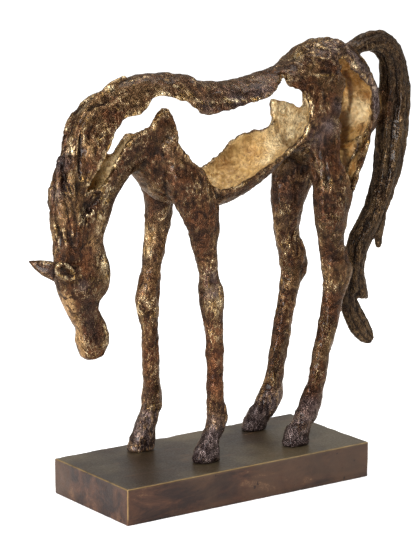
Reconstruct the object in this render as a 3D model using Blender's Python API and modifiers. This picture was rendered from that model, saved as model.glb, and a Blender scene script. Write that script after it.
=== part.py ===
"""A grazing horse, cast as a torn shell, standing on a low plinth.

Units are metres and +Z is up. The origin is the middle of the plinth's underside.
The horse looks to -X and its own left side faces -Y.
"""

import math

import bmesh
import bpy
from mathutils import Vector

# Plinth
PLINTH_LENGTH = 0.272
PLINTH_WIDTH = 0.124
PLINTH_HEIGHT = 0.034
PLINTH_CORNER = 0.002
PLINTH_EDGE = 0.0010

# Horse: its height from the plinth's top to the tail's arch, and where it stands on the plinth
HORSE_HEIGHT = 0.380
HORSE_FORWARD = 0.0
HORSE_ASIDE = 0.004
WALL = 0.0050
SEAT_GAP = 0.0003

# Modelling: mesh size of the cast surface and the number of its faces
GRAIN = 0.0016
SOFTENED_AWAY = 0.0005
HORSE_FACES = 9600

# The figure's pose is written in shares of its height: 380 units from hoof to tail arch,
# x from head (-) to tail (+), y from its left (-) to its right (+), z up from the hooves.
FIGURE_UNITS = 380.0
UNIT = HORSE_HEIGHT / FIGURE_UNITS

# Stations of the forms: x, y, z, half depth, half width
BARREL = [
    (-80, 0, 287, 20, 18),
    (-69, 0, 296, 45, 26),
    (-52, 0, 299, 59, 33),
    (-28, 0, 294.5, 57, 36),
    (0, 0, 288.5, 57, 38),
    (30, 0, 292.5, 52.5, 38),
    (58, 0, 303, 47, 37),
    (84, 0, 314, 42, 36),
    (108, 0, 316, 57, 38.5),
    (132, 0, 318, 58, 38),
    (153, 0, 318, 50, 34.5),
    (169, 0, 314, 38, 29),
    (180, 0, 308, 23, 19),
]
NECK = [
    (-46, 0, 307, 52, 30),
    (-72, 0, 317, 42, 27),
    (-95, 0, 310.5, 41, 23),
    (-112, 0, 299.5, 39, 20),
    (-124, 0, 281, 32.5, 18),
    (-133.5, 0, 262, 30, 16.5),
    (-138, 0, 240, 25.5, 15),
    (-142, 0, 218, 22.8, 14),
    (-141, 0, 200, 25, 13),
]
HEAD = [
    (-142, 0, 206, 21, 12),
    (-141, 0, 196, 25, 14),
    (-139.5, 0, 184, 27, 15),
    (-140.5, 0, 172, 25, 14.5),
    (-141, 0, 161, 18.5, 12.5),
    (-139, 0, 151, 14.5, 10.5),
    (-135, 0, 142, 13, 9.5),
    (-131, 0, 133, 14.5, 10),
    (-130, 0, 123, 16.5, 11),
    (-130.5, 0, 112, 12.5, 9.5),
]
HEAD_DOME = 0.8
NEAR_FORELEG = [
    (-57, -21, 300, 16, 13),
    (-43, -25, 262, 21, 14),
    (-29, -27, 230, 17, 12.5),
    (-26, -28, 205, 12, 10.5),
    (-23, -29, 178, 8.3, 8.4),
    (-20, -29, 155, 11.4, 9),
    (-18, -29, 137, 9.4, 8),
    (-17, -30, 112, 7.8, 6.6),
    (-16, -30, 70, 7.6, 6.6),
    (-15, -30, 52, 7.9, 7),
    (-13.5, -30, 40, 9.7, 8.6),
    (-17, -31, 30, 8, 7.4),
    (-22, -31, 20, 8.2, 7.8),
    (-25, -31, 12, 11, 9),
]
FAR_FORELEG = [
    (-52, 21, 292, 16, 13),
    (-43, 24, 250, 14.5, 13),
    (-40, 26, 222, 12, 11.5),
    (-44, 27, 198, 10, 10),
    (-47, 28, 172, 8.3, 8.3),
    (-51.5, 29, 146, 11.2, 9),
    (-50, 29, 130, 9.2, 7.9),
    (-48, 30, 112, 8, 6.6),
    (-46, 31, 72, 7.3, 6.6),
    (-44, 32, 48, 9.6, 8),
    (-46, 33, 38, 9, 7.6),
    (-51, 33, 24, 9.6, 7.4),
    (-54, 33, 12, 11.8, 8.8),
]
NEAR_HINDLEG = [
    (130, -18, 312, 42, 18),
    (131, -19, 290, 38, 17.5),
    (128, -22, 270, 32, 16.5),
    (123, -26, 250, 25.5, 15),
    (118, -29, 229, 19.5, 13),
    (116, -30, 205, 15, 10.8),
    (117, -30, 186, 12.2, 9.2),
    (121, -31, 169, 14, 9.8),
    (123.5, -31, 157, 15, 9.7),
    (120, -31, 142, 11.2, 8.3),
    (115, -32, 122, 9.3, 7.4),
    (107, -32, 91, 8.6, 6.7),
    (98, -33, 58, 8.6, 6.7),
    (92, -33, 38, 10.8, 8.2),
    (87, -33, 28, 10.6, 8.2),
    (80, -34, 19, 10, 8),
    (75, -34, 11, 12, 9.2),
]
FAR_HINDLEG = [
    (130, 18, 308, 40, 18),
    (127, 19, 286, 35, 17.5),
    (119, 21, 264, 28, 16),
    (111, 24, 242, 21.5, 14),
    (107, 25, 222, 17.3, 12.5),
    (106, 26, 200, 13.6, 10.6),
    (107.5, 27, 184, 11.8, 9),
    (114, 27, 168, 14, 9),
    (116, 28, 154, 14.2, 8.8),
    (112, 28, 141, 10, 8),
    (108, 29, 118, 8.7, 7),
    (101, 30, 79, 8.8, 6.7),
    (95, 31, 48, 9.2, 6.8),
    (92.5, 31, 33, 12, 8.2),
    (86, 31, 22, 11.4, 7.8),
    (79, 32, 14, 11, 8),
    (75, 32, 8, 12, 9),
]
# Hooves: x and y of the sole's middle, half length and half width there, height
HOOVES = [
    (-27, -31, 14.8, 10.6, 15),
    (-56.5, 34, 14.4, 10.2, 14),
    (73.5, -34, 14.6, 10.6, 15),
    (72.5, 32, 13.6, 10.2, 13),
]
SOLE_TRIM = 3
# The tail's course: x, z, half depth, half width
TAIL = [
    (146, 360, 6, 10),
    (162, 364, 7.5, 10),
    (178, 369, 9.5, 11),
    (196, 367.5, 11.5, 12),
    (209, 354, 13.5, 13),
    (213.5, 330, 16, 13.5),
    (213, 305, 17.5, 13.5),
    (211.5, 280, 17.5, 13.5),
    (208.5, 256, 15.5, 13),
    (203.5, 234, 13.2, 12.5),
    (194.5, 212, 11.5, 12),
    (183, 192, 11.5, 11.5),
    (171, 172, 12, 10.5),
    (167, 150, 12, 9.5),
    (169, 131, 15, 9),
]
# The tail's loose ends: x, y, z, half depth, half width
TAIL_ENDS = [
    [(204, 1, 240, 9, 6), (199, -1, 214, 7, 5.5), (196, -3, 192, 5, 4.5), (193.5, -4, 171, 2.6, 3)],
    [(163, 3, 150, 10, 8), (163, 4, 124, 9, 7), (168.5, 4, 110, 10, 6.5), (175.5, 4, 97, 10.5, 6),
     (185, 4, 85, 9.2, 5), (192.5, 4, 77, 5.5, 3)],
    [(165, -2, 156, 8, 7), (170, -2, 138, 9, 6), (178, -2, 127, 6, 4.5), (183, -2, 121, 3, 2.5)],
]
BARREL_DOME = 0.35
TAIL_STRANDS = 6
TAIL_STRAND_SIZE = 0.37
TAIL_CORE = 0.64
TAIL_TWIST = 0.9

# Mane: locks laid along the neck; start and end along it, start and end angle round it
MANE_LOCKS = [
    (0.18, 0.56, 0, 30),
    (0.30, 0.72, 16, 50),
    (0.44, 0.86, 2, 28),
    (0.52, 0.94, 34, 66),
    (0.66, 1.00, 10, 44),
    (0.60, 0.98, -18, 4),
    (0.26, 0.62, -34, -14),
    (0.46, 0.82, -50, -22),
    (0.68, 1.00, -44, -24),
]
MANE_LOCK_WIDTH = 4.8
MANE_LOCK_LIFT = 2.0
MANE_SWAY = 4

# An ear's leaf: how far out, and its share of the half height and of the half thickness there
FAR_LEAF = [(0.0, 0.80, 1.0), (0.3, 1.0, 1.0), (0.6, 0.84, 0.8), (0.85, 0.44, 0.5), (1.0, 0.14, 0.2)]
NEAR_LEAF = [(0.0, 0.60, 0.8), (0.3, 0.90, 1.0), (0.6, 1.0, 1.0), (0.85, 0.86, 0.8), (1.0, 0.5, 0.5)]
# Ears: root, tip, the way they open, half height, half thickness, leaf, half depth of the cup
EARS = [
    ((-150, 6, 181.5), (-178, 30, 196), (-0.65, -0.76, 0), 9.2, 4.6, FAR_LEAF, 1.8),
    ((-155, -11, 183), (-180, -23.5, 202), (0.1, -0.9, -0.45), 8.0, 4.6, NEAR_LEAF, 4.2),
]
EAR_RIM = 2.2
EYES = [(-147, -13, 168), (-147, 13, 168)]
EYE_RADIUS = 4.0

# Tears in the shell, as outlines x, z, and how far in from either side each is cut
NEAR_UPPER_LIP = [
    (-137, 272), (-129, 286), (-120, 301), (-113, 315), (-104, 325), (-90, 327), (-78, 339),
    (-66, 341), (-47, 336), (-33, 326), (-18, 321), (10, 325), (38, 330.5), (49, 333), (58, 338.5),
    (66, 344.5), (69, 348.5),
]
NEAR_LOWER_LIP = [
    (-143, 260), (-130, 265), (-118, 274), (-110, 293), (-97, 308), (-83, 314), (-72, 328),
    (-65, 331), (-57, 317), (-56, 298), (-47, 284), (-33, 272), (-19, 257), (-6, 251), (12, 253),
    (28, 261), (48, 269), (63, 276), (79, 286), (86, 302), (87.5, 317), (86, 328), (81, 335),
    (75, 338.5), (70.5, 341.5), (74, 348),
]
FAR_UPPER_LIP = [
    (-106, 302), (-100, 320), (-84, 336), (-58, 340), (-36, 335), (-14, 329), (12, 328), (42, 333),
    (70, 337), (96, 338), (110, 338), (114, 331), (125, 326), (131, 321.5),
]
FAR_LOWER_LIP = [
    (-104, 288), (-96, 287), (-88, 294), (-77, 302), (-58, 300), (-38, 284), (-14, 267), (6, 261),
    (21, 265), (43, 280), (61, 289), (80, 292), (94, 297), (93, 317), (104, 316.5), (117, 312),
    (126, 308), (132, 309.5), (132.5, 315),
]
HAUNCH_TEAR = [
    (128, 360), (125, 350), (126, 339), (121.5, 326), (121, 314), (118, 308), (121, 300), (122, 286),
    (121, 270), (126, 257), (133, 238), (138, 240), (146, 258), (154, 268), (160, 281), (165, 298),
    (168, 313), (166, 330), (156.5, 337.5), (143.5, 352), (140, 359),
]
# A crevice pressed into the neck's near side: x, y, z, half depth, half width
NECK_POCKET = [
    (-131, -18.5, 258, 6.5, 5.5),
    (-138, -18, 252, 6, 7.5),
    (-144, -17.5, 244, 4.5, 8),
    (-148, -17.5, 237, 3, 7),
    (-149.5, -17.5, 231, 1.8, 5),
]
NECK_HOLLOW_ENDS = 6
NEAR_REACH = -3
HAUNCH_REACH = -17
FAR_REACH = 3
OUTSIDE = 60

# Finish colours
BRONZE = (0.060, 0.036, 0.024, 1.0)
BASE_BROWN = (0.048, 0.026, 0.016, 1.0)


def clear_scene():
    for old in list(bpy.data.objects):
        bpy.data.objects.remove(old, do_unlink=True)


def collection(name):
    made = bpy.data.collections.new(name)
    bpy.context.scene.collection.children.link(made)
    return made


def material(name, colour, roughness, metallic):
    made = bpy.data.materials.new(name)
    made.use_nodes = True
    shader = made.node_tree.nodes["Principled BSDF"]
    shader.inputs["Base Color"].default_value = colour
    shader.inputs["Roughness"].default_value = roughness
    shader.inputs["Metallic"].default_value = metallic
    return made


def figure_to_world(point):
    """A point of the figure in metres, with the hooves a hair above the plinth."""
    x, y, z = point
    ground = PLINTH_HEIGHT + SEAT_GAP
    return Vector((x * UNIT + HORSE_FORWARD, y * UNIT + HORSE_ASIDE, z * UNIT + ground))


def spline_value(before, start, end, after, t):
    """Catmull-Rom value between start and end."""
    return 0.5 * (2 * start + (end - before) * t
                  + (2 * before - 5 * start + 4 * end - after) * t * t
                  + (3 * start - before - 3 * end + after) * t ** 3)


def smooth_stations(stations, steps):
    """Stations with more in between, on a smooth curve through all of them."""
    last = len(stations) - 1
    fine = []
    for index in range(last):
        around = [stations[max(index - 1, 0)], stations[index], stations[index + 1],
                  stations[min(index + 2, last)]]
        for step in range(steps):
            t = step / steps
            fine.append(tuple(spline_value(*values, t) for values in zip(*around)))
    fine.append(tuple(float(value) for value in stations[last]))
    return fine


def smooth_outline(points, steps):
    """A closed outline with more points, on a smooth curve through all of them."""
    count = len(points)
    fine = []
    for index in range(count):
        around = [points[(index + offset) % count] for offset in (-1, 0, 1, 2)]
        for step in range(steps):
            fine.append(tuple(spline_value(*values, step / steps) for values in zip(*around)))
    return fine


def section_frame(centres, index, side, facing=None):
    """Direction of the path, and the depth and width axes of its section there.

    Sections stand square to the path, or all square to one direction that they face.
    """
    ahead = centres[min(index + 1, len(centres) - 1)]
    behind = centres[max(index - 1, 0)]
    along = Vector(facing) if facing else (ahead - behind).normalized()
    depth_axis = side.cross(along).normalized()
    return along, depth_axis, along.cross(depth_axis)


def section_ring(centre, depth_axis, width_axis, depth, width, power, sides):
    """Points of a superellipse round a centre."""
    ring = []
    for corner in range(sides):
        angle = math.tau * corner / sides
        cosine, sine = math.cos(angle), math.sin(angle)
        across = math.copysign(abs(cosine) ** (2 / power), cosine)
        aside = math.copysign(abs(sine) ** (2 / power), sine)
        ring.append(centre + depth_axis * depth * across + width_axis * width * aside)
    return ring


def skinned(centres, fine, index, column, inset):
    """A section's half size less the wall, which takes more of it where the form tapers."""
    ahead, behind = min(index + 1, len(fine) - 1), max(index - 1, 0)
    run = (centres[ahead] - centres[behind]).length
    taper = (fine[ahead][column] - fine[behind][column]) * UNIT / run
    return max(fine[index][column] * UNIT - inset * math.sqrt(1 + taper * taper), 0.001)


def loft(shape, stations, power=2.0, sides=24, steps=4, cap=0.6, side=(0, 1, 0), facing=None,
         inset=0.0):
    """Add a closed tube of superelliptical sections to the mesh, with domed ends.

    An inset in metres makes it thinner all round and shorter at its ends.
    """
    fine = smooth_stations(stations, steps)
    centres = [figure_to_world(station[:3]) for station in fine]
    side = Vector(side)
    rings = []
    for index, centre in enumerate(centres):
        along, depth_axis, width_axis = section_frame(centres, index, side, facing)
        depth = skinned(centres, fine, index, 3, inset)
        width = skinned(centres, fine, index, 4, inset)
        at_start, at_end = index == 0, index == len(centres) - 1
        dome = min(depth, width) * cap
        domes = (0.94, 0.78, 0.5) if at_start or at_end else ()
        ring = section_ring(centre, depth_axis, width_axis, depth, width, power, sides)
        ends = []
        for share in domes:
            away = along * dome * math.sqrt(1 - share * share) * (1 if at_end else -1)
            ends.append(section_ring(centre + away, depth_axis, width_axis,
                                     depth * share, width * share, power, sides))
        rings += list(reversed(ends)) + [ring] if at_start else [ring] + ends
    corners = [[shape.verts.new(point) for point in ring] for ring in rings]
    for low, high in zip(corners, corners[1:]):
        for corner in range(sides):
            after = (corner + 1) % sides
            shape.faces.new((low[corner], low[after], high[after], high[corner]))
    shape.faces.new(list(reversed(corners[0])))
    shape.faces.new(corners[-1])


def ball(shape, centre, radii):
    """Add an ellipsoid; the centre and the radii are in figure units."""
    made = bmesh.ops.create_uvsphere(shape, u_segments=20, v_segments=12, radius=UNIT)
    bmesh.ops.scale(shape, vec=Vector(radii), verts=made["verts"])
    bmesh.ops.translate(shape, vec=figure_to_world(centre), verts=made["verts"])


def mesh_object(name, shape, group):
    """An object from a finished bmesh, with its faces turned outwards."""
    bmesh.ops.recalc_face_normals(shape, faces=shape.faces)
    mesh = bpy.data.meshes.new(name)
    shape.to_mesh(mesh)
    shape.free()
    made = bpy.data.objects.new(name, mesh)
    group.objects.link(made)
    return made


def remesh(thing, size, smoothing):
    """Fuse overlapping forms into one skin and soften it."""
    fused = thing.modifiers.new("fused", "REMESH")
    fused.mode = "VOXEL"
    fused.voxel_size = size
    soft = thing.modifiers.new("soft", "SMOOTH")
    soft.factor = 0.5
    soft.iterations = smoothing


def add_head(shape):
    loft(shape, HEAD, power=2.7, cap=HEAD_DOME)
    for ear in EARS:
        add_ear(shape, *ear)
    for eye in EYES:
        ball(shape, eye, (EYE_RADIUS, EYE_RADIUS * 0.8, EYE_RADIUS * 0.8))


def ear_side(root, tip, opening):
    """The way an ear opens, made square to its length."""
    along = (tip - root).normalized()
    return (opening - along * opening.dot(along)).normalized()


def add_ear(shape, root, tip, opening, height, thickness, leaf, cup):
    """A leaf from the root to the tip; its cup is cut afterwards."""
    root, tip = Vector(root), Vector(tip)
    stations = [(*root.lerp(tip, share), height * tall, thickness * thick) for share, tall, thick in leaf]
    loft(shape, stations, sides=16, cap=0.3, side=ear_side(root, tip, Vector(opening)))


def add_ear_cup(shape, root, tip, opening, height, thickness, leaf, cup):
    """A hollow on the ear's open side, with a rim left round it."""
    root, tip = Vector(root), Vector(tip)
    side = ear_side(root, tip, Vector(opening))
    stations = [(*(root.lerp(tip, share) + side * thickness * thick), height * tall - EAR_RIM, cup)
                for share, tall, thick in leaf[1:-1]]
    loft(shape, stations, sides=16, side=side)


def neck_surface(share, angle, lift):
    """A point on the neck's skin: share along it, angle in degrees from the crest to the left."""
    fine = smooth_stations(NECK, 8)
    index = min(int(share * (len(fine) - 1)), len(fine) - 1)
    centres = [Vector(station[:3]) for station in fine]
    _, depth_axis, width_axis = section_frame(centres, index, Vector((0, 1, 0)))
    turn = math.radians(angle)
    depth, width = fine[index][3] + lift, fine[index][4] + lift
    crest = depth_axis if depth_axis.z - depth_axis.x > 0 else -depth_axis
    left = Vector((0, -1, 0))
    return centres[index] + crest * depth * math.cos(turn) + left * width * math.sin(turn)


def add_mane(shape):
    for number, (start, end, from_angle, to_angle) in enumerate(MANE_LOCKS):
        stations = []
        for step in range(9):
            t = step / 8
            sway = MANE_SWAY * math.sin(math.tau * t + number)
            point = neck_surface(start + (end - start) * t,
                                 from_angle + (to_angle - from_angle) * t + sway, MANE_LOCK_LIFT)
            fullness = 0.35 + 0.65 * math.sin(math.pi * min(t * 1.15 + 0.12, 1.0))
            stations.append((*point, MANE_LOCK_WIDTH * fullness, MANE_LOCK_WIDTH * 0.8 * fullness))
        loft(shape, stations, sides=10, steps=2)


def add_tail(shape):
    course = [(x, 0, z, depth, width) for x, z, depth, width in TAIL]
    core = [(x, y, z, depth * TAIL_CORE, width * TAIL_CORE) for x, y, z, depth, width in course]
    loft(shape, core, sides=16, steps=3)
    centres = [Vector(station[:3]) for station in course]
    for strand in range(TAIL_STRANDS):
        stations = []
        for index, (_, _, _, depth, width) in enumerate(course):
            _, depth_axis, width_axis = section_frame(centres, index, Vector((0, 1, 0)))
            turn = math.tau * strand / TAIL_STRANDS + TAIL_TWIST * index / len(course)
            thick = TAIL_STRAND_SIZE * min(depth, width)
            point = (centres[index] + depth_axis * (depth - thick) * math.cos(turn)
                     + width_axis * (width - thick) * math.sin(turn))
            stations.append((*point, thick, thick))
        loft(shape, stations, sides=10, steps=3)
    for end in TAIL_ENDS:
        loft(shape, end, sides=14)


def add_hooves(shape):
    """Hooves that run on below the ground; the ground's cutter levels their soles."""
    for x, y, length, width, height in HOOVES:
        foot = [(x, y, -SOLE_TRIM, length, width),
                (x + 0.8, y, height * 0.5, length * 0.88, width * 0.88),
                (x + 1.6, y, height, length * 0.74, width * 0.76)]
        loft(shape, foot, power=2.3, sides=20, steps=3, cap=0.02, facing=(0, 0, 1))


def horse_outside():
    shape = bmesh.new()
    loft(shape, BARREL, power=2.15, sides=32, cap=BARREL_DOME, facing=(1, 0, 0),
         inset=-SOFTENED_AWAY)
    loft(shape, NECK, power=2.2, sides=28, inset=-SOFTENED_AWAY)
    for leg in (NEAR_FORELEG, FAR_FORELEG, NEAR_HINDLEG, FAR_HINDLEG):
        loft(shape, leg, sides=20, inset=-SOFTENED_AWAY)
    add_head(shape)
    add_mane(shape)
    add_tail(shape)
    add_hooves(shape)
    return shape


def horse_hollow():
    shape = bmesh.new()
    loft(shape, BARREL, power=2.15, sides=32, cap=BARREL_DOME, facing=(1, 0, 0), inset=WALL)
    loft(shape, NECK[:NECK_HOLLOW_ENDS], power=2.2, sides=28, inset=WALL)
    loft(shape, NEAR_HINDLEG[:4], sides=20, cap=0.2, inset=WALL)
    loft(shape, FAR_HINDLEG[:3], sides=20, cap=0.2, inset=WALL)
    return shape


def tear(name, outline, from_y, to_y, group):
    """A cutter for a ragged opening: an outline x, z pushed through from one y to the other."""
    shape = bmesh.new()
    fine = smooth_outline(outline, 4)
    low = [shape.verts.new(figure_to_world((x, from_y, z))) for x, z in fine]
    high = [shape.verts.new(figure_to_world((x, to_y, z))) for x, z in fine]
    count = len(fine)
    for corner in range(count):
        after = (corner + 1) % count
        shape.faces.new((low[corner], low[after], high[after], high[corner]))
    shape.faces.new(list(reversed(low)))
    shape.faces.new(high)
    return mesh_object(name, shape, group)


def make_cutters(group):
    hollow = mesh_object("cut_hollow", horse_hollow(), group)
    remesh(hollow, GRAIN, 4)
    near = NEAR_UPPER_LIP + list(reversed(NEAR_LOWER_LIP))
    far = FAR_UPPER_LIP + list(reversed(FAR_LOWER_LIP))
    cups = bmesh.new()
    for ear in EARS:
        add_ear_cup(cups, *ear)
    loft(cups, NECK_POCKET, sides=16)
    cutters = [
        hollow,
        mesh_object("cut_cups", cups, group),
        tear("cut_near", near, -OUTSIDE, NEAR_REACH, group),
        tear("cut_far", far, FAR_REACH, OUTSIDE, group),
        tear("cut_haunch", HAUNCH_TEAR, -OUTSIDE, HAUNCH_REACH, group),
    ]
    for cutter in cutters:
        cutter.hide_render = True
        cutter.display_type = "WIRE"
    return cutters


def make_ground(group):
    """A block with its top where the soles end, a hair above the plinth."""
    shape = bmesh.new()
    bmesh.ops.create_cube(shape, size=1.0)
    bmesh.ops.scale(shape, vec=(PLINTH_LENGTH, PLINTH_WIDTH, PLINTH_HEIGHT), verts=shape.verts)
    ground = mesh_object("cut_ground", shape, group)
    ground.location = (0, 0, PLINTH_HEIGHT / 2 + SEAT_GAP)
    ground.hide_render = True
    ground.display_type = "WIRE"
    return ground


def settle(thing):
    """Turn the object's evaluated shape into its own mesh, without modifiers."""
    graph = bpy.context.evaluated_depsgraph_get()
    mesh = bpy.data.meshes.new_from_object(thing.evaluated_get(graph))
    thing.modifiers.clear()
    thing.data = mesh


def make_horse(group, cutter_group, finish):
    horse = mesh_object("horse", horse_outside(), group)
    remesh(horse, GRAIN, 1)
    cut = horse.modifiers.new("torn", "BOOLEAN")
    cut.operation = "DIFFERENCE"
    cut.operand_type = "COLLECTION"
    cut.collection = cutter_group
    remesh(horse, GRAIN, 2)
    settle(horse)
    fewer = horse.modifiers.new("fewer", "DECIMATE")
    fewer.ratio = HORSE_FACES / (2 * len(horse.data.polygons))
    fewer.use_collapse_triangulate = True
    level = horse.modifiers.new("level soles", "BOOLEAN")
    level.operation = "DIFFERENCE"
    level.object = make_ground(cutter_group)
    horse.data.materials.append(finish)
    horse.data.shade_smooth()
    return horse


def make_plinth(group, finish):
    shape = bmesh.new()
    bmesh.ops.create_cube(shape, size=1.0)
    bmesh.ops.scale(shape, vec=(PLINTH_LENGTH, PLINTH_WIDTH, PLINTH_HEIGHT), verts=shape.verts)
    upright = [edge for edge in shape.edges if abs(edge.verts[0].co.z - edge.verts[1].co.z) > 1e-6]
    bmesh.ops.bevel(shape, geom=upright, offset=PLINTH_CORNER, segments=4, profile=0.5,
                    affect="EDGES")
    plinth = mesh_object("plinth", shape, group)
    plinth.location = (0, 0, PLINTH_HEIGHT / 2)
    worn = plinth.modifiers.new("worn edges", "BEVEL")
    worn.width = PLINTH_EDGE
    worn.segments = 2
    worn.limit_method = "ANGLE"
    worn.angle_limit = math.radians(50)
    plinth.data.materials.append(finish)
    plinth.data.shade_smooth()
    plinth.data.set_sharp_from_angle(angle=math.radians(35))
    return plinth


def main():
    clear_scene()
    group = collection("grazing_horse")
    cutter_group = collection("cutters")
    make_cutters(cutter_group)
    make_horse(group, cutter_group, material("cast bronze", BRONZE, 0.45, 0.6))
    make_plinth(group, material("brown base", BASE_BROWN, 0.4, 0.4))


main()
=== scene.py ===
import math

import bmesh
import bpy
import numpy as np
from mathutils import Matrix, Vector


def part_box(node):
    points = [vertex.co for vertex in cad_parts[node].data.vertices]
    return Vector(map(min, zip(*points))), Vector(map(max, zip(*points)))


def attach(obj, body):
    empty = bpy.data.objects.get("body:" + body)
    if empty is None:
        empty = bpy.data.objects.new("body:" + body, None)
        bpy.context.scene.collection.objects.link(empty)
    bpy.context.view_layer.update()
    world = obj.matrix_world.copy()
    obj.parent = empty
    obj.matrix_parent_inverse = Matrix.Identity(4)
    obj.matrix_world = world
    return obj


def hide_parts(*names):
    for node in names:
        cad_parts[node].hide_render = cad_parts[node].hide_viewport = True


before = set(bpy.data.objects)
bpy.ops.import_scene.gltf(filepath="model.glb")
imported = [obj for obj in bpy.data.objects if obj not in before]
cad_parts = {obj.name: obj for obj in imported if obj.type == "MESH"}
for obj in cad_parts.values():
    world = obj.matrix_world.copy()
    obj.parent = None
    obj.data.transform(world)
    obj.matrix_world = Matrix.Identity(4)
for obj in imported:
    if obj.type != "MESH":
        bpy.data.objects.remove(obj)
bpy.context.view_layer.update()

# The figure's own numbers are in millimetres: x to the tail, y to its right side, z from the hooves
MM = 0.001
FIGURE_ORIGIN = np.array([0.0, 4.0, 34.3])
# The edge of the cast mesh's small faces in metres, and the most triangles that it may keep
GRAIN = 0.00118
MOST_TRIANGLES = 195000
# The plinth's mesh spacing, its rounded edge, and how far its wear reaches, in millimetres
PLINTH_SPACING, PLINTH_ROUNDING, PLINTH_WEAR = 2.6, 1.1, 2.2
# The camera at the photo's angle: its aim in metres, its turn and height in degrees, its distance
CAMERA_AIM = (-0.003596, 0, 0.197036)
CAMERA_AZIMUTH, CAMERA_ELEVATION, CAMERA_DISTANCE = -34.87, 12.4, 2.39568
FOCAL_PIXELS, PHOTO_HEIGHT, SENSOR = 2600, 560, 36
# The studio is white all round but dark behind the camera, as the cast's dark middle shows
DARK_SIDE = (-0.57, -0.81, 0.12)
# Lights: name, place, aim, width and height, power
MIDDLE = (0, 0, 0.22)
LIGHTS = [
    ("key", (-1.1, -1.3, 1.5), MIDDLE, (0.7, 0.7), 28),
    ("top", (0.5, 0.3, 1.9), MIDDLE, (1.0, 1.0), 24),
    ("right", (1.6, -0.9, 0.8), MIDDLE, (0.4, 1.2), 9),
    ("left", (-1.8, 0.3, 0.5), MIDDLE, (0.6, 1.2), 22),
    ("low", (-1.8, -1.2, 0.35), (0.06, 0, 0.33), (0.6, 0.6), 44),
]

# Stations of the cast forms: x, y, z, half depth, half width
BARREL = [
    (-80, 0, 287, 20, 18), (-69, 0, 296, 45, 26), (-52, 0, 299, 59, 33), (-28, 0, 294.5, 57, 36),
    (0, 0, 288.5, 57, 38), (30, 0, 292.5, 52.5, 38), (58, 0, 303, 47, 37), (84, 0, 314, 42, 36),
    (108, 0, 316, 57, 38.5), (132, 0, 318, 58, 38), (153, 0, 318, 50, 34.5), (169, 0, 314, 38, 29),
    (180, 0, 308, 23, 19),
]
NECK = [
    (-46, 0, 307, 52, 30), (-72, 0, 317, 42, 27), (-95, 0, 310.5, 41, 23), (-112, 0, 299.5, 39, 20),
    (-124, 0, 281, 32.5, 18), (-133.5, 0, 262, 30, 16.5), (-138, 0, 240, 25.5, 15),
    (-142, 0, 218, 22.8, 14), (-141, 0, 200, 25, 13),
]
HEAD = [
    (-142, 0, 206, 21, 12), (-141, 0, 196, 25, 14), (-139.5, 0, 184, 27, 15),
    (-140.5, 0, 172, 25, 14.5), (-141, 0, 161, 18.5, 12.5), (-139, 0, 151, 14.5, 10.5),
    (-135, 0, 142, 13, 9.5), (-131, 0, 133, 14.5, 10), (-130, 0, 123, 16.5, 11),
    (-130.5, 0, 112, 12.5, 9.5),
]
NEAR_FORELEG = [
    (-43, -25, 262, 21, 14), (-29, -27, 230, 17, 12.5), (-26, -28, 205, 12, 10.5),
    (-23, -29, 178, 8.3, 8.4), (-20, -29, 155, 11.4, 9), (-18, -29, 137, 9.4, 8),
    (-17, -30, 112, 7.8, 6.6), (-16, -30, 70, 7.6, 6.6), (-15, -30, 52, 7.9, 7),
    (-13.5, -30, 40, 9.7, 8.6), (-17, -31, 30, 8, 7.4), (-22, -31, 20, 8.2, 7.8),
    (-26, -31, 6, 13, 10),
]
FAR_FORELEG = [
    (-43, 24, 250, 14.5, 13), (-40, 26, 222, 12, 11.5), (-44, 27, 198, 10, 10),
    (-47, 28, 172, 8.3, 8.3), (-51.5, 29, 146, 11.2, 9), (-50, 29, 130, 9.2, 7.9),
    (-48, 30, 112, 8, 6.6), (-46, 31, 72, 7.3, 6.6), (-44, 32, 48, 9.6, 8), (-46, 33, 38, 9, 7.6),
    (-51, 33, 24, 9.6, 7.4), (-56, 33, 6, 13, 10),
]
NEAR_HINDLEG = [
    (131, -19, 290, 38, 17.5), (128, -22, 270, 32, 16.5), (123, -26, 250, 25.5, 15),
    (118, -29, 229, 19.5, 13), (116, -30, 205, 15, 10.8), (117, -30, 186, 12.2, 9.2),
    (121, -31, 169, 14, 9.8), (123.5, -31, 157, 15, 9.7), (120, -31, 142, 11.2, 8.3),
    (115, -32, 122, 9.3, 7.4), (107, -32, 91, 8.6, 6.7), (98, -33, 58, 8.6, 6.7),
    (92, -33, 38, 10.8, 8.2), (87, -33, 28, 10.6, 8.2), (80, -34, 19, 10, 8), (74, -34, 6, 14, 10),
]
FAR_HINDLEG = [
    (127, 19, 286, 35, 17.5), (119, 21, 264, 28, 16), (111, 24, 242, 21.5, 14),
    (107, 25, 222, 17.3, 12.5), (106, 26, 200, 13.6, 10.6), (107.5, 27, 184, 11.8, 9),
    (114, 27, 168, 14, 9), (116, 28, 154, 14.2, 8.8), (112, 28, 141, 10, 8), (108, 29, 118, 8.7, 7),
    (101, 30, 79, 8.8, 6.7), (95, 31, 48, 9.2, 6.8), (92.5, 31, 33, 12, 8.2), (86, 31, 22, 11.4, 7.8),
    (79, 32, 14, 11, 8), (74, 32, 5, 13, 10),
]
TAIL = [
    (162, 0, 364, 7.5, 10), (178, 0, 369, 9.5, 11), (196, 0, 367.5, 11.5, 12), (209, 0, 354, 13.5, 13),
    (213.5, 0, 330, 16, 13.5), (213, 0, 305, 17.5, 13.5), (211.5, 0, 280, 17.5, 13.5),
    (208.5, 0, 256, 15.5, 13), (203.5, 0, 234, 13.2, 12.5), (194.5, 0, 212, 11.5, 12),
    (183, 0, 192, 11.5, 11.5), (171, 0, 172, 12, 10.5), (166, 0, 150, 12, 9.5), (165, 3, 130, 12, 8),
    (169, 4, 110, 11, 7), (176, 4, 97, 10, 6), (185, 4, 85, 9, 5), (193, 4, 77, 5, 3),
]
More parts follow.
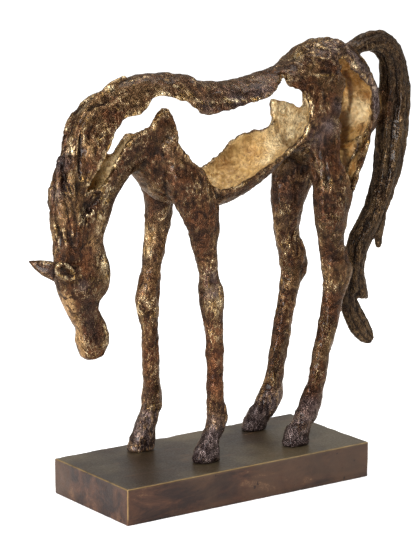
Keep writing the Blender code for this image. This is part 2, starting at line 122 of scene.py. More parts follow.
FORMS = {"barrel": BARREL, "neck": NECK, "head": HEAD, "near fore": NEAR_FORELEG,
         "far fore": FAR_FORELEG, "near hind": NEAR_HINDLEG, "far hind": FAR_HINDLEG, "tail": TAIL}
# Edges of the tears, as x, z
NEAR_TEAR = [
    (-137, 272), (-129, 286), (-120, 301), (-113, 315), (-104, 325), (-90, 327), (-78, 339),
    (-66, 341), (-47, 336), (-33, 326), (-18, 321), (10, 325), (38, 330.5), (49, 333), (58, 338.5),
    (66, 344.5), (69, 348.5), (74, 348), (70.5, 341.5), (75, 338.5), (81, 335), (86, 328),
    (87.5, 317), (86, 302), (79, 286), (63, 276), (48, 269), (28, 261), (12, 253), (-6, 251),
    (-19, 257), (-33, 272), (-47, 284), (-56, 298), (-57, 317), (-65, 331), (-72, 328), (-83, 314),
    (-97, 308), (-110, 293), (-118, 274), (-130, 265), (-143, 260),
]
FAR_TEAR = [
    (-106, 302), (-100, 320), (-84, 336), (-58, 340), (-36, 335), (-14, 329), (12, 328), (42, 333),
    (70, 337), (96, 338), (110, 338), (114, 331), (125, 326), (131, 321.5), (132.5, 315),
    (132, 309.5), (126, 308), (117, 312), (104, 316.5), (93, 317), (94, 297), (80, 292), (61, 289),
    (43, 280), (21, 265), (6, 261), (-14, 267), (-38, 284), (-58, 300), (-77, 302), (-88, 294),
    (-96, 287), (-104, 288),
]
HAUNCH_TEAR = [
    (128, 360), (125, 350), (126, 339), (121.5, 326), (121, 314), (118, 308), (121, 300), (122, 286),
    (121, 270), (126, 257), (133, 238), (138, 240), (146, 258), (154, 268), (160, 281), (165, 298),
    (168, 313), (166, 330), (156.5, 337.5), (143.5, 352), (140, 359),
]
# Locks laid on the mane: course, half width in its middle, height
LOCKS = [
    ([(-147, -2, 316), (-151.5, -6, 310), (-153, -7.5, 302), (-154, -11, 292)], 3.4, 1.7),
    ([(-145, -13, 311), (-140.5, -15, 297), (-139, -16.5, 285), (-143, -16, 272)], 4.2, 1.1),
    ([(-157, -6.5, 291), (-159, -9.5, 280), (-158, -14.5, 269), (-155.5, -15.5, 256)], 4.2, 1.6),
    ([(-160, 2, 298), (-165, -4, 280), (-166, -6, 266), (-161.5, -10.5, 262), (-156, -15.5, 256)],
     2.6, 1.5),
    ([(-165, -6, 262), (-163.5, -9, 251), (-160.5, -10.5, 240), (-158, -12, 230), (-156, -12, 220)],
     5.6, 2.0),
    ([(-129, 2, 340), (-137, -3, 331), (-144, -5, 321), (-149, -9, 308)], 4.0, 1.3),
    ([(-150, -14, 262), (-151, -14.5, 246), (-149, -14, 230), (-151, -12, 212)], 3.6, 1.2),
    ([(-161, 4, 262), (-165, 2, 246), (-166, -2, 230), (-164, -3, 212)], 4.6, 1.5),
]
# Folds pressed between them: course, half width, depth
FOLDS = [
    ([(-147.5, -12.5, 312), (-148.5, -13, 298), (-150, -13.5, 285), (-149, -14.5, 273)], 1.9, 2.0),
    ([(-159.5, -3, 295), (-162.5, -4.5, 285), (-162, -7, 278), (-161.5, -11.5, 270), (-158, -15.5, 261)],
     1.7, 1.8),
    ([(-138, -9.5, 333), (-132.5, -10, 336.5), (-121.5, -11.5, 337)], 2.4, 1.4),
    ([(-162, -13, 261), (-158, -15.5, 248), (-154.5, -15, 235), (-153.5, -13, 221)], 1.5, 1.5),
    ([(-168, -5, 258), (-168, -6.5, 250), (-165, -9.5, 240), (-161, -11, 229)], 1.4, 1.2),
    ([(-141, -15.5, 262), (-143, -15.5, 255), (-148, -15.5, 243), (-150, -15, 230)], 1.6, 1.5),
]
# The far side's locks and folds lie this much lower
MANE_SHIFT = (0, 0, -7)
# The strap of the dock down the haunch's rim
STRAP = [(138, -12, 370), (144, -19, 366), (147.5, -23.5, 360), (152, -27, 352.5), (158, -28.5, 344),
         (163.5, -28.5, 336.5), (167, -28, 329), (168.5, -28.5, 320), (169, -29, 311),
         (168.5, -28.5, 302)]
# The crevice under the neck's tear
CREVICE = [(-130, -15, 255), (-134, -13, 253), (-140, -12, 250), (-145, -12, 242), (-148, -13, 233)]
# The brow's edge, as z and x: the lit plane of the face lies in front of it
BROW = [(108, -141), (118, -142.5), (132, -144.5), (143, -148), (155, -152.5), (167, -156.5),
        (180, -161.5), (196, -166)]
# The face, near side: lids, mouth and nostril
LIDS = [
    [(-152.5, -13.5, 169.5), (-149, -15, 171.6), (-145.5, -15, 171.4), (-141.5, -13.5, 167.5)],
    [(-152.5, -13.5, 169), (-148.5, -14.6, 166), (-144.5, -14.4, 165.4), (-141.5, -13.5, 167.2)],
]
MOUTH = [(-147, 0, 126), (-145.5, -4.5, 121), (-143, -6.5, 117), (-140, -8, 114.5)]
NOSTRIL = [(-136.5, -8.5, 126.5), (-134.5, -9.5, 130), (-131.5, -10, 131)]
# The rim of the near ear
EAR_EDGE = [(-180, -22, 202), (-177.5, -24.5, 204), (-171.5, -24.5, 202), (-163.5, -21, 195),
            (-158.5, -18, 188.5), (-160.5, -16.5, 185), (-169.5, -17.5, 189), (-178, -21, 193),
            (-181, -22, 198)]
# Gold edges on the strap of the back
GILT_EDGES = [
    [(-54, -18, 350), (-45, -22, 345), (-35, -27, 336), (-25, -29, 331)],
    [(-4, -25, 332), (14, -27, 330), (38, -27, 331)],
]
# Patches of the finish, of painted shade and of painted light: middle and radius
GILT_SPOTS = [
    (-152, -6, 307, 4), (-153.5, -9, 298, 4), (-119, -16, 260, 5), (-123, -15, 251, 4),
    (-127, -14.5, 238, 5), (-129, -13, 226, 4), (-121, -8.5, 135, 3), (-118.5, -8, 128, 4),
    (-120.5, -9, 119, 3), (-129, 7, 338, 6), (-121, 8, 343, 5), (-114, -6, 350, 5), (-136, 0, 331, 5),
    (-62.5, 29, 143, 5), (-61, 29, 134, 5), (-15, -37.5, 149, 4.5),
    (-22, -37, 142, 5), (-125, -12.5, 197, 7), (-120, -11.5, 183, 5), (-49, -24, 335, 6),
    (-66, -16, 341, 6), (95, -6, 364, 5), (-52, 26, 208, 6), (-52, 26, 190, 5),
]
MAUVE_SPOTS = [
    (-24, -37, 160, 7), (-24, -36, 174, 6), (96, -37, 288, 9), (106, -38, 300, 8), (-164, -2, 288, 8),
    (-168, -4, 262, 6), (-28, -24, 326, 9), (40, -26, 336, 12), (10, -26, 330, 10), (-48, -30, 310, 7),
    (116, -38, 318, 6), (125, -24, 372, 10), (-148, -13.5, 177, 4),
]
# Painted shade: dark patches on the face, the far ear, the neck, the far legs and the croup
SHADE_SPOTS = [
    (-140, -11, 154, 8), (-138, -10, 144, 8), (-136, -10, 135, 7), (-133, -10, 128, 6),
    (-148, -13, 180, 4), (-143, -12, 164, 6),
    (-42, 24, 236, 12), (-36, 20, 226, 10), (112, 22, 248, 18), (108, 22, 226, 15), (104, 24, 205, 13),
    (-96, -17, 300, 8), (-166, 20, 190, 13), (-160, 14, 186, 8), (99, -10, 365, 11), (112, -20, 366, 10),
    (84, -12, 356, 9), (124, -27, 361, 7),
]
RUST_SPOTS = [
    (-134, -10, 112, 7), (-128, -9, 110, 6), (-146, -13, 192, 7), (-140, -13, 205, 8),
    (-160, -11, 236, 6), (-14, -31, 96, 14), (-15, -31, 70, 12), (-22, -31, 118, 12),
    (-47, 28, 90, 12), (128, -32, 262, 12),
    (-139, -15, 283, 8), (-30, -27, 232, 12), (-128, -6, 104, 9), (-132, -2, 112, 7),
]
# Painted shade in the leaf of the open haunch, along its dark folds and its shaded lower edge: course,
# half width
LEAF_SHADE_FOLDS = [
    ([(169, 18, 340), (171.5, 17, 332), (174, 17, 322), (175, 17.5, 312), (173, 18, 302)], 4.5),
    ([(169, 19, 298), (165, 15, 290), (160, 8, 281), (153, 0, 271), (146, -10, 262), (142, -18, 252)],
     7.5),
    ([(166, 21, 322), (168, 21, 308), (166, 20, 299)], 2.4),
    ([(178, 2, 292), (172, -4, 283), (166, -10, 276), (160, -17, 268)], 2.0),
]
# Painted light: pale lit patches on the leaf, behind the barrel's window, in the haunch and in the neck
LEAF_LIT_SPOTS = [
    (93, 33, 312, 13), (108, 33, 306, 14), (125, 31, 296, 12), (112, 30, 283, 14), (92, 24, 280, 11),
    (177, 11, 307, 8), (172, 13, 294, 7), (178, 6, 298, 8), (180, 9, 313, 5), (181, 4, 306, 6),
    (-100, 0, 290, 14), (-108, -5, 275, 14), (-118, -8, 255, 12), (-124, -10, 238, 12),
]
LEAF_AMBER_SPOTS = [
    (166, 16, 342, 13), (178, 9, 333, 10), (172, 16, 326, 10), (184, 2, 318, 6), (152, -12, 268, 10),
    (146, -22, 252, 12), (176, 2, 282, 7), (35, 26, 262, 6), (60, 20, 276, 6),
]
# Painted light: lit tan patches on the mane, the far foreleg, the back and the far hind leg
LIT_TAN_SPOTS = [
    (-152, -6, 307, 6), (-161, -10, 240, 6), (-140, -14, 300, 6), (-158, -12, 275, 5),
    (-163, -9, 250, 5), (-136, -14, 214, 7), (-128, -14, 232, 6), (-52, 26, 205, 9), (-53, 27, 150, 8),
    (-44, -22, 338, 9), (-34, -24, 331, 8), (120, 22, 262, 9), (92, 24, 262, 8),
]


def make_camera():
    azimuth, elevation = math.radians(CAMERA_AZIMUTH), math.radians(CAMERA_ELEVATION)
    back = Vector((math.sin(azimuth) * math.cos(elevation),
                   -math.cos(azimuth) * math.cos(elevation), math.sin(elevation)))
    right = Vector((math.cos(azimuth), math.sin(azimuth), 0))
    up = back.cross(right)
    place = Vector(CAMERA_AIM) + back * CAMERA_DISTANCE
    camera = bpy.data.objects.new("camera", bpy.data.cameras.new("camera"))
    camera.data.sensor_width = SENSOR
    camera.data.lens = SENSOR * FOCAL_PIXELS / PHOTO_HEIGHT
    camera.data.clip_end = 100
    turn = Matrix((right, up, back)).transposed().to_4x4()
    camera.matrix_world = Matrix.Translation(place) @ turn
    bpy.context.scene.collection.objects.link(camera)
    bpy.context.scene.camera = camera


def add_light(name, place, target, size, power):
    data = bpy.data.lights.new(name, "AREA")
    data.shape = "RECTANGLE"
    data.size, data.size_y = size
    data.energy = power
    light = bpy.data.objects.new(name, data)
    light.location = place
    light.rotation_euler = (Vector(target) - Vector(place)).to_track_quat("-Z", "Y").to_euler()
    bpy.context.scene.collection.objects.link(light)


def make_floor():
    shape = bmesh.new()
    bmesh.ops.create_grid(shape, x_segments=1, y_segments=1, size=12)
    mesh = bpy.data.meshes.new("floor")
    shape.to_mesh(mesh)
    shape.free()
    floor = bpy.data.objects.new("floor", mesh)
    bpy.context.scene.collection.objects.link(floor)
    paint = bpy.data.materials.new("pale floor")
    paint.use_nodes = True
    nodes, links = paint.node_tree.nodes, paint.node_tree.links
    shader = nodes["Principled BSDF"]
    shader.inputs["Base Color"].default_value = (0.93, 0.93, 0.93, 1)
    shader.inputs["Roughness"].default_value = 0.9
    shader.inputs["Specular IOR Level"].default_value = 0.0
    shader.inputs["Emission Color"].default_value = (1, 1, 1, 1)
    # a glow seen only by the camera keeps the far floor white; weaker near the middle, it paints a soft
    # shadow round the plinth
    place = nodes.new("ShaderNodeTexCoord")
    reach = nodes.new("ShaderNodeVectorMath")
    reach.operation = "LENGTH"
    links.new(place.outputs["Object"], reach.inputs[0])
    faded = nodes.new("ShaderNodeMapRange")
    for name, value in (("From Min", 0.2), ("From Max", 1.0), ("To Min", 0.38), ("To Max", 0.80)):
        faded.inputs[name].default_value = value
    links.new(reach.outputs["Value"], faded.inputs["Value"])
    eye = nodes.new("ShaderNodeLightPath")
    glow = nodes.new("ShaderNodeMath")
    glow.operation = "MULTIPLY"
    links.new(eye.outputs["Is Camera Ray"], glow.inputs[0])
    links.new(faded.outputs["Result"], glow.inputs[1])
    links.new(glow.outputs[0], shader.inputs["Emission Strength"])
    mesh.materials.append(paint)


def make_world():
    world = bpy.data.worlds.new("studio")
    world.use_nodes = True
    nodes, links = world.node_tree.nodes, world.node_tree.links
    nodes["Background"].inputs["Color"].default_value = (1, 1, 1, 1)
    way = nodes.new("ShaderNodeTexCoord")
    towards = nodes.new("ShaderNodeVectorMath")
    towards.operation = "DOT_PRODUCT"
    towards.inputs[1].default_value = DARK_SIDE
    links.new(way.outputs["Generated"], towards.inputs[0])
    dim = nodes.new("ShaderNodeMapRange")
    for name, value in (("From Min", 0.15), ("From Max", 0.80), ("To Min", 0.42), ("To Max", 0.01)):
        dim.inputs[name].default_value = value
    links.new(towards.outputs["Value"], dim.inputs["Value"])
    eye = nodes.new("ShaderNodeLightPath")
    shown = nodes.new("ShaderNodeMapRange")
    shown.inputs["To Max"].default_value = 1.0
    links.new(dim.outputs["Result"], shown.inputs["To Min"])
    links.new(eye.outputs["Is Camera Ray"], shown.inputs["Value"])
    links.new(shown.outputs["Result"], nodes["Background"].inputs["Strength"])
    bpy.context.scene.world = world


def make_stage():
    make_floor()
    make_world()
    for light in LIGHTS:
        add_light(*light)
    bpy.context.scene.view_settings.view_transform = "Standard"
    bpy.context.scene.view_settings.look = "None"


# Noise and patterns on arrays of points

def noise(points, size, seed):
    """Smooth noise from -1 to 1 whose bumps are about that size."""
    table = np.random.default_rng(seed).uniform(-1, 1, (32, 32, 32))
    scaled = points / size
    cell = np.floor(scaled).astype(int)
    part = scaled - cell
    part = part * part * (3 - 2 * part)
    total = np.zeros(len(points))
    for dx in (0, 1):
        for dy in (0, 1):
            for dz in (0, 1):
                weight = (np.where(dx, part[:, 0], 1 - part[:, 0])
                          * np.where(dy, part[:, 1], 1 - part[:, 1])
                          * np.where(dz, part[:, 2], 1 - part[:, 2]))
                corner = (cell + (dx, dy, dz)) & 31
                total += weight * table[corner[:, 0], corner[:, 1], corner[:, 2]]
    return total


def rough(points, size, seed, octaves=3):
    total, strength = np.zeros(len(points)), 1.0
    for octave in range(octaves):
        total += strength * noise(points, size / 2 ** octave, seed + octave)
        strength *= 0.55
    return total


def step(low, high, value):
    """0 below low, 1 above high, smooth in between."""
    t = np.clip((value - low) / (high - low), 0, 1)
    return t * t * (3 - 2 * t)


def strand(turns):
    """Round strands side by side with sharp furrows between them, 0 to 1."""
    across = 2 * (turns - np.floor(turns)) - 1
    return np.sqrt(np.clip(1 - across * across, 0, 1))


def cells(points, size, seed):
    """Distance to the borders of uneven cells of about that size, 0 on a border."""
    low = points.min(0) - size
    high = points.max(0) + size
    count = np.maximum(((high - low) / size).astype(int), 1)
    grid = np.stack(np.meshgrid(*[np.arange(n) for n in count], indexing="ij"), -1).reshape(-1, 3)
    seeds = low + (grid + np.random.default_rng(seed).uniform(0.05, 0.95, grid.shape)) * size
    nearest = np.full((len(points), 2), 1e9)
    for start in range(0, len(points), 4000):
        block = points[start:start + 4000]
        near = seeds[(seeds > block.min(0) - 2 * size).all(1) & (seeds < block.max(0) + 2 * size).all(1)]
        away = np.sqrt(((block[:, None] - near[None]) ** 2).sum(2))
        nearest[start:start + 4000] = np.partition(away, 1, axis=1)[:, :2]
    return nearest[:, 1] - nearest[:, 0]


def dense(points, steps=8, closed=False):
    """More points on a smooth curve through all of them."""
    given = np.array(points, float)
    last = len(given)
    rows = []
    for index in range(last if closed else last - 1):
        if closed:
            a, b, c, d = (given[(index + k) % last] for k in (-1, 0, 1, 2))
        else:
            a, b, c, d = (given[min(max(index + k, 0), last - 1)] for k in (-1, 0, 1, 2))
        for t in np.arange(steps) / steps:
            rows.append(0.5 * (2 * b + (c - a) * t + (2 * a - 5 * b + 4 * c - d) * t * t
                               + (3 * b - a - 3 * c + d) * t ** 3))
    if not closed:
        rows.append(given[-1])
    return np.array(rows)


def line_distance(points, line, normals=None):
    """Distance to a polyline, along the skin where normals are given, and how far along it, 0 to 1."""
    best = np.full(len(points), 1e9)
    along = np.zeros(len(points))
    for index in range(len(line) - 1):
        a, b = line[index], line[index + 1]
        run = b - a
        t = np.clip((points - a) @ run / max(run @ run, 1e-9), 0, 1)
        offset = points - a - t[:, None] * run
        if normals is not None:
            offset = offset - 0.85 * (offset * normals).sum(1)[:, None] * normals
        away = np.sqrt((offset ** 2).sum(1))
        closer = away < best
        best[closer] = away[closer]
        along[closer] = (index + t[closer]) / (len(line) - 1)
    return best, along


def locate(points, stations, upright=False):
    """Where points lie in a lofted form: radius (1 on its skin), angle and share along it."""
    fine = dense(stations, 6)
    centre = fine[:, :3]
    ahead = np.gradient(centre, axis=0)
    if upright:
        ahead = np.tile([1.0, 0, 0], (len(centre), 1))
    ahead /= np.linalg.norm(ahead, axis=1)[:, None]
    depth_axis = np.cross([0, 1, 0], ahead)
    depth_axis /= np.linalg.norm(depth_axis, axis=1)[:, None]
    width_axis = np.cross(ahead, depth_axis)
    chosen = np.zeros(len(points), int)
    for start in range(0, len(points), 20000):
        block = points[start:start + 20000]
        if upright:
            away = np.abs(block[:, None, 0] - centre[None, :, 0])
        else:
            away = ((block[:, None] - centre[None]) ** 2).sum(2) / (fine[None, :, 3] ** 2)
        chosen[start:start + 20000] = away.argmin(1)
    offset = points - centre[chosen]
    deep = (offset * depth_axis[chosen]).sum(1) / fine[chosen, 3]
    wide = (offset * width_axis[chosen]).sum(1) / fine[chosen, 4]
    beyond = np.abs((offset * ahead[chosen]).sum(1)) / fine[chosen, 3]
    share = chosen / (len(fine) - 1)
    radius = np.sqrt(deep ** 2 + wide ** 2 + np.where((chosen == 0) | (chosen == len(fine) - 1),
                                                      beyond ** 2, 0))
    outward = depth_axis[chosen] * deep[:, None] + width_axis[chosen] * wide[:, None]
    outward /= np.linalg.norm(outward, axis=1)[:, None] + 1e-9
    return radius, np.arctan2(wide, deep), share, outward


# The horse: the frame's solid, cast again at a finer grain with its carving and finish

def figure(points):
    """Metres to the figure's own numbers."""
    return points / MM - FIGURE_ORIGIN


def store(mesh, name, values):
    made = mesh.attributes.new(name, "FLOAT", "POINT")
    made.data.foreach_set("value", values.astype(np.float32))


def apply_modifiers(thing):
    graph = bpy.context.evaluated_depsgraph_get()
    result = bpy.data.meshes.new_from_object(thing.evaluated_get(graph))
    thing.modifiers.clear()
    thing.data = result


def fused_mesh(source):
    """The solid's mesh cast again as one skin of even small faces."""
    thing = bpy.data.objects.new("horse_cast", source.copy())
    bpy.context.scene.collection.objects.link(thing)
    fused = thing.modifiers.new("fused", "REMESH")
    fused.mode = "VOXEL"
    fused.voxel_size = GRAIN
    apply_modifiers(thing)
    return thing


class Skin:
    """The mesh's points as arrays, with smoothing over neighbours."""

    def __init__(self, mesh):
        self.mesh = mesh
        count = len(mesh.vertices)
        self.points = np.zeros(count * 3, np.float32)
        mesh.vertices.foreach_get("co", self.points)
        self.points = figure(self.points.reshape(-1, 3).astype(float))
        edges = np.zeros(len(mesh.edges) * 2, np.int32)
        mesh.edges.foreach_get("vertices", edges)
        edges = edges.reshape(-1, 2)
        self.start = np.concatenate([edges[:, 0], edges[:, 1]])
        self.end = np.concatenate([edges[:, 1], edges[:, 0]])
        self.degree = np.maximum(np.bincount(self.start, minlength=count), 1)

    def averaged(self, values):
        if values.ndim == 1:
            return np.bincount(self.start, values[self.end], len(values)) / self.degree
        return np.stack([self.averaged(values[:, k]) for k in range(values.shape[1])], 1)

    def smoothed(self, values, rounds, keep_volume=False):
        for _ in range(rounds):
            values = values + 0.6 * (self.averaged(values) - values)
            if keep_volume:
                values = values - 0.62 * (self.averaged(values) - values)
        return values

    def write(self):
        metres = (self.points + FIGURE_ORIGIN) * MM
        self.mesh.vertices.foreach_set("co", metres.astype(np.float32).ravel())
        self.mesh.update()

    def normals(self):
        self.write()
        found = np.zeros(len(self.points) * 3, np.float32)
        self.mesh.vertex_normals.foreach_get("vector", found)
        return found.reshape(-1, 3).astype(float)


def zones(points, normals):
    """How much each point belongs to each form, its place there, and the inside of the shell."""
    places = {name: locate(points, stations, name == "barrel") for name, stations in FORMS.items()}
    radii = np.stack([places[name][0] for name in FORMS], 1)
    nearness = np.exp(-7 * (radii - radii.min(1)[:, None]))
    shares = nearness / nearness.sum(1)[:, None]
    part = {name: shares[:, index] for index, name in enumerate(FORMS)}
    inside = np.zeros(len(points))
    for name in ("barrel", "neck"):
        radius, _, _, outward = places[name]
        facing = (normals * outward).sum(1)
        inside = np.maximum(inside, step(1.0, 0.95, radius) * step(0.45, 0.05, facing))
    for name in ("near hind", "far hind"):
        radius, _, share, outward = places[name]
        facing = (normals * outward).sum(1)
        within = step(1.02, 0.9, radius) * step(0.1, -0.3, facing) * step(0.3, 0.22, share)
        inside = np.maximum(inside, within)
    # the leaf ends above this height in the neck and in the barrel
    lowest = np.where(points[:, 0] < -85, 255, 230)
    inside *= step(0, 4, points[:, 2] - lowest) * step(0.5, 0.1, part["tail"])
    for outline, near, bare in ((NEAR_TEAR, True, 1.5), (HAUNCH_TEAR, True, 1.5), (FAR_TEAR, False, 1.0)):
        ragged = 1 + 0.8 * noise(points, 6, 5)
        inside *= 1 - tear_nearness(points, outline, bare * ragged, near)[0]
    return places, part, inside


def tear_nearness(points, outline, width, near):
    flat = np.stack([points[:, 0], points[:, 2]], 1)
    line = dense(outline, 3, closed=True)
    line = np.vstack([line, line[:1]])
    away, along = line_distance(flat, line)
    side = step(4, -2, points[:, 1]) if near else step(-4, 2, points[:, 1])
    return np.exp(-(away / width) ** 2) * side, along


def ribbon(points, normals, line, width, pointed=True):
    """1 on the middle of a ribbon laid along a line, 0 at its borders and beyond."""
    course = dense(line, 4)
    found = np.zeros(len(points))
    near = ((points > course.min(0) - 9) & (points < course.max(0) + 9)).all(1)
    away, along = line_distance(points[near], course, normals[near])
    if pointed:
        share = 0.3 + 0.7 * np.sin(math.pi * np.clip(along * 1.05 + 0.1, 0, 1))
    else:
        share = 1 - 0.6 * along
    found[near] = np.clip(1 - (away / (width * share)) ** 2, 0, 1)
    return found


def spots(points, patches):
    """1 in the middle of round patches, fading to 0 round them."""
    found = np.zeros(len(points))
    for x, y, z, radius in patches:
        away = ((points - (x, y, z)) ** 2).sum(1)
        found = np.maximum(found, np.exp(-away / radius ** 2))
    return found


def other_side(line):
    """A course of the near side, carried over to the far side a little lower."""
    return [(x + MANE_SHIFT[0], -y + MANE_SHIFT[1], z + MANE_SHIFT[2]) for x, y, z in line]


def net(points):
    """Distance to the borders of the croup's uneven patches."""
    wobble = np.stack([noise(points, 8, 83), noise(points, 8, 84), noise(points, 8, 85)], 1)
    return cells(points * (0.8, 1, 1) + 2.2 * wobble, 15, 81)


def croup_share(points, part):
    return part["barrel"] * step(84, 100, points[:, 0]) * step(330, 342, points[:, 2])


def relief(skin, places, part, inside, normals):
    """The carving, as a height along the normals in millimetres."""
    points = skin.points
    height = np.zeros(len(points))
    outside = 1 - inside
    tail = part["tail"]
    limbs = part["near fore"] + part["far fore"] + part["near hind"] + part["far hind"]

    # lumps and pits of the rough cast, and drawn-out ridges down the limbs
    height += 0.60 * rough(points, 17, 11, 2) * outside
    height += 0.42 * rough(points, 7.0, 21, 2) * outside * (1 - 0.5 * part["head"])
    drawn = points * (1.0, 1.0, 0.30)
    height += 0.75 * (1 - 2 * np.abs(rough(drawn, 7.5, 31, 2))) * (limbs + 0.6 * part["barrel"] * outside)
    height += 0.35 * (1 - 2 * np.abs(noise(points, 5.0, 33))) * outside * (1 - 0.5 * part["head"])
    height -= 0.40 * step(0.55, 0.90, noise(points, 3.8, 41)) * outside * (1 - 0.7 * part["head"])

    # locks and folds of the mane, the far side's in keeping
    _, angle, share, _ = places["neck"]
    neck = part["neck"] * outside * step(0.10, 0.24, share)
    turns = angle / math.tau * 17 + 0.5 * np.sin(7.5 * share + 0.6) + 0.45 * noise(points, 22, 51) + share
    crest = step(-0.5, 0.1, np.cos(angle))
    height += (0.75 * strand(turns) + 0.35 * strand(turns * 2.7 + 0.4 * noise(points, 12, 52)) - 0.8) \
        * neck * crest
    for line, width, lift in LOCKS:
        for course in (line, other_side(line)):
            height += lift * np.sqrt(ribbon(points, normals, course, width)) * outside
    for line, width, deep in FOLDS:
        for course in (line, other_side(line)):
            height -= deep * ribbon(points, normals, course, width * 1.4) * outside

    # strands of the tail
    _, angle, share, _ = places["tail"]
    turns = angle / math.tau * 8 + 1.6 * share + 0.45 * noise(points, 26, 61)
    height += (2.1 * strand(turns) + 0.6 * strand(turns * 2.9 + 0.3 * noise(points, 14, 62)) - 2.0) * tail

    # crumpled leaf inside the shell
    tilted = points @ np.array([[0.87, 0, 0.5], [0, 1, 0], [-0.5, 0, 0.87]]).T * (0.55, 1, 1)
    crumple = (1 - 2 * np.abs(noise(tilted, 15, 71))) + 0.6 * (1 - 2 * np.abs(noise(tilted, 7, 72)))
    crumple += 0.35 * (1 - 2 * np.abs(noise(points, 3.6, 73)))
    height += (1.6 * (crumple - 0.8) + 0.6 * rough(points, 2.8, 74, 2)) * inside

    # the croup's net of raised lines and the dock's strap
    croup = croup_share(points, part) * outside
    height += 0.8 * np.exp(-(net(points) / 1.1) ** 2) * croup
    height += 1.9 * np.sqrt(ribbon(points, normals, STRAP, 6.5, pointed=False)) * outside

    # ragged edges of the tears
    body = part["barrel"] + part["neck"]
    for outline, near, seed in ((NEAR_TEAR, True, 91), (FAR_TEAR, False, 92), (HAUNCH_TEAR, True, 93)):
        edge, _ = tear_nearness(points, outline, 3.6, near)
        height += 1.2 * rough(points, 6, seed, 2) * edge * body

    # the face: eyes, mouth and nostrils on either side
    for line, width, lift in ((LIDS[0], 1.2, 0.5), (LIDS[1], 1.1, 0.4), (MOUTH, 1.4, -0.9),
                              (NOSTRIL, 1.8, -0.9)):
        for course in (line, [(x, -y, z) for x, y, z in line]):
            height += lift * ribbon(points, normals, course, width, pointed=False)
    height += 2.2 * (rough(points, 5, 111, 2) + 0.3) * np.sqrt(ribbon(points, normals, CREVICE, 7.0))

    # flutes of the hooves
    hoof = step(17, 11, points[:, 2])
    height += 0.35 * np.sin(points[:, 0] * 1.9 + 2 * noise(points, 9, 97)) * hoof
    return height


def finish_masks(skin, part, inside, normals):
    """Where each tone of the finish, painted shade and painted light lies: 0 or less for nowhere, 1 or
    more for all of it.
    """
    points = skin.points
    outside = 1 - inside
    fine = ((points - skin.smoothed(points, 6)) * normals).sum(1)
    broad = ((points - skin.smoothed(points, 40)) * normals).sum(1)
    ridge = step(0.03, 0.18, fine) * 0.6 + step(0.2, 0.9, broad) * 0.5
    ridge *= (1 - 0.6 * part["head"]) * step(-0.35, 0.35, noise(points, 19, 107))
    # creases and hollows darken: the patina of the hollows, deepened by painted shade in the broad
    # hollows
    crease = step(-0.03, -0.17, fine)
    patina_and_shade = crease * 0.5 + step(-0.1, -0.7, broad) * 0.7 * outside

    # gold: patches, the edges of the tears, the croup's net, the near ear's rim, the mane's ridges
    gilt = spots(points, GILT_SPOTS) * 0.8
    for outline, near, seed in ((NEAR_TEAR, True, 101), (FAR_TEAR, False, 102), (HAUNCH_TEAR, True, 103)):
        edge, _ = tear_nearness(points, outline, 1.3, near)
        gilt = np.maximum(gilt, 0.9 * edge * step(0.0, 0.45, noise(points, 11, seed)))
    gilt = np.maximum(gilt, 0.45 * np.exp(-(net(points) / 0.9) ** 2) * croup_share(points, part)
                      * step(-0.5, 0.2, noise(points, 12, 104)))
    for line in (EAR_EDGE, *GILT_EDGES):
        gilt = np.maximum(gilt, ribbon(points, normals, line, 1.8, pointed=False))
    gilt = np.maximum(gilt, 0.8 * part["neck"] * step(0.12, 0.38, fine)
                      * step(-0.3, 0.3, noise(points, 16, 108)))

    # grey purple: patches, the dock's strap, the pasterns and hooves
    strap = ribbon(points, normals, STRAP, 8.5, pointed=False)
    gilt = gilt * (1 - 0.8 * strap)
    mauve = np.maximum(spots(points, MAUVE_SPOTS), strap)
    mauve = np.maximum(mauve, step(50, 26, points[:, 2] + 8 * noise(points, 14, 110)))

    # black: painted shade in the neck's crevice and the mane's folds
    dark = 0.8 * ribbon(points, normals, CREVICE, 6.0) * step(-0.9, 0.1, noise(points, 6, 109))
    for line, width, _ in FOLDS:
        for course in (line, other_side(line)):
            dark = np.maximum(dark, 0.75 * ribbon(points, normals, course, width))

    # tan: painted light on the lit plane of the face, but not the ears, and on lit patches
    brow = np.array(BROW)
    ahead = np.interp(points[:, 2], brow[:, 0], brow[:, 1]) - points[:, 0]
    tan = part["head"] * step(-1.0, 1.2, ahead + 0.9 * noise(points, 5, 105))
    tan *= step(200, 186, points[:, 2])
    tan *= 1 - step(-149, -152, points[:, 0]) * step(172, 177, points[:, 2])
    tan = np.maximum(tan, 0.8 * spots(points, LIT_TAN_SPOTS))

    # painted shade in the haunch's leaf
    folds = np.zeros(len(points))
    for line, width in LEAF_SHADE_FOLDS:
        folds = np.maximum(folds, ribbon(points, normals, line, width, pointed=False))
    return {
        "leaf": inside,
        "ridge": ridge,
        # patina of the hollows and painted shade
        "patina_and_shade": np.maximum(patina_and_shade, dark),
        "crease": crease,
        "gilt": gilt * outside,
        "mauve": mauve,
        # painted shade patches
        "shade": spots(points, SHADE_SPOTS),
        "rust": spots(points, RUST_SPOTS),
        # lit tan: painted light
        "tan": tan,
        "tail": part["tail"],
        # painted shade in the haunch's leaf
        "leaf_shade": 1.3 * folds,
        # painted light on the leaf
        "leaf_lit": 1.2 * spots(points, LEAF_LIT_SPOTS),
        "leaf_amber": spots(points, LEAF_AMBER_SPOTS),
    }


def make_horse(node):
    thing = fused_mesh(node.data)
    skin = Skin(thing.data)
    skin.points = skin.smoothed(skin.points, 5, keep_volume=True)
    normals = skin.normals()
    places, part, inside = zones(skin.points, normals)
    height = relief(skin, places, part, inside, normals)
    height *= step(0.6, 4.0, skin.points[:, 2])
    skin.points = skin.points + normals * height[:, None]
    skin.points[:, 2] = np.maximum(skin.points[:, 2], 0.0)
    normals = skin.normals()
    for name, values in finish_masks(skin, part, inside, normals).items():
        store(thing.data, name, np.clip(values, 0, 1))
    triangles = 2 * len(thing.data.polygons)
    if triangles > MOST_TRIANGLES:
        fewer = thing.modifiers.new("fewer", "DECIMATE")
        fewer.ratio = MOST_TRIANGLES / triangles
        apply_modifiers(thing)
    thing.data.shade_smooth()
    return thing


# Materials

